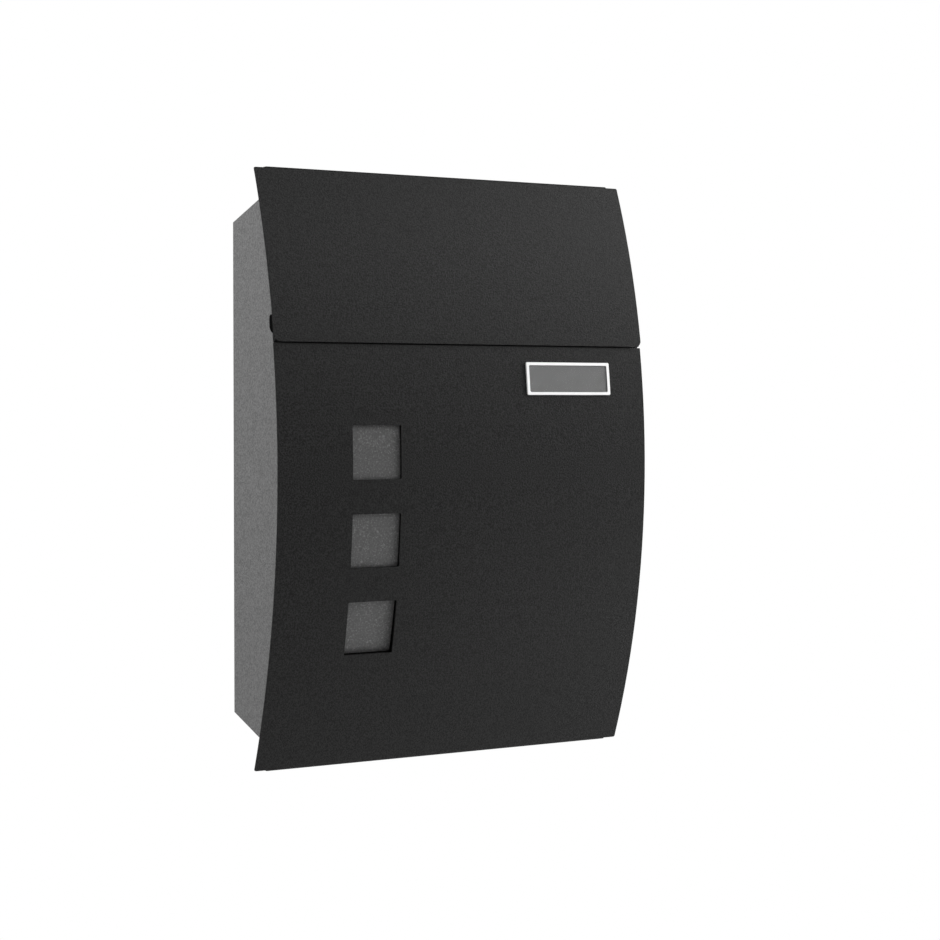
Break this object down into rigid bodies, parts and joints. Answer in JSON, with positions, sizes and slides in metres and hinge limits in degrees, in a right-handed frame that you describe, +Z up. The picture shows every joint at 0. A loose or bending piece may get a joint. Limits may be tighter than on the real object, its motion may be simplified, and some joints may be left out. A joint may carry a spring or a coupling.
{
  "type": "wall mounted mailbox",
  "caption": "Slim sheet-steel wall mailbox with a curved black front: a lifting letter flap over a side-hinged door with square windows, a nameplate and a cam lock.",
  "frame": {"origin": "middle of the flat back face, on the wall", "axes": "+Z up, +X to the right seen from the front, the front faces -Y and the wall is at Y = 0"},
  "size_m": [0.264, 0.083, 0.3716],
  "materials": {
    "front_paint": "black fine-textured powder coat, satin",
    "body_paint": "mid grey fine-textured powder coat, matt",
    "zinc_steel": "zinc plated",
    "lock_chrome": "nickel plated zinc casting",
    "tinted_pane": "grey tinted acrylic, lightly speckled",
    "frame_white": "white moulded plastic",
    "name_card": "plain grey card, blank",
    "clear_cover": "clear acrylic",
    "rubber_black": "matt black moulded rubber",
    "nylon": "natural nylon"
  },
  "bodies": {
    "body": {"back_panel": "body_paint", "left_side_wall": "body_paint", "right_side_wall": "body_paint", "top_plate": "body_paint", "bottom_plate": "body_paint", "letter_slot_plate": "body_paint", "door_header": "front_paint", "flap_hinge_rod": "zinc_steel", "upper_hinge_bush": "nylon", "lower_hinge_bush": "nylon", "lower_hinge_bracket": "body_paint", "flap_bumpers": "rubber_black", "door_bumpers": "rubber_black", "lock_housing": "lock_chrome", "lock_nut": "zinc_steel"},
    "flap": {"flap_panel": "front_paint", "left_flap_ear": "front_paint", "right_flap_ear": "front_paint"},
    "door": {"door_panel": "front_paint", "door_top_rail": "front_paint", "door_catch": "zinc_steel", "upper_hinge_arm": "zinc_steel", "lower_hinge_arm": "zinc_steel", "upper_hinge_pin": "zinc_steel", "lower_hinge_pin": "zinc_steel", "window_pane": "tinted_pane", "pane_gasket": "rubber_black", "pane_retainer": "zinc_steel", "pane_studs": "zinc_steel", "pane_nuts": "zinc_steel", "nameplate_frame": "frame_white", "nameplate_card": "name_card", "nameplate_cover": "clear_cover"},
    "lock_core": {"lock_plug": "lock_chrome", "lock_cam": "zinc_steel", "cam_washer": "zinc_steel", "cam_screw": "zinc_steel"}
  },
  "joints": [
    {"name": "flap_hinge", "type": "hinge", "parent": "body", "child": "flap", "pos_m": [0, -0.048, 0.162], "axis": [-1, 0, 0], "range_deg": [0, 60]},
    {"name": "door_hinge", "type": "hinge", "parent": "body", "child": "door", "pos_m": [-0.1205, -0.042, 0], "axis": [0, 0, -1], "range_deg": [0, 90]},
    {"name": "lock_turn", "type": "hinge", "parent": "body", "child": "lock_core", "pos_m": [0.098, -0.036, 0.11], "axis": [0, -1, 0], "range_deg": [0, 90]}
  ]
}
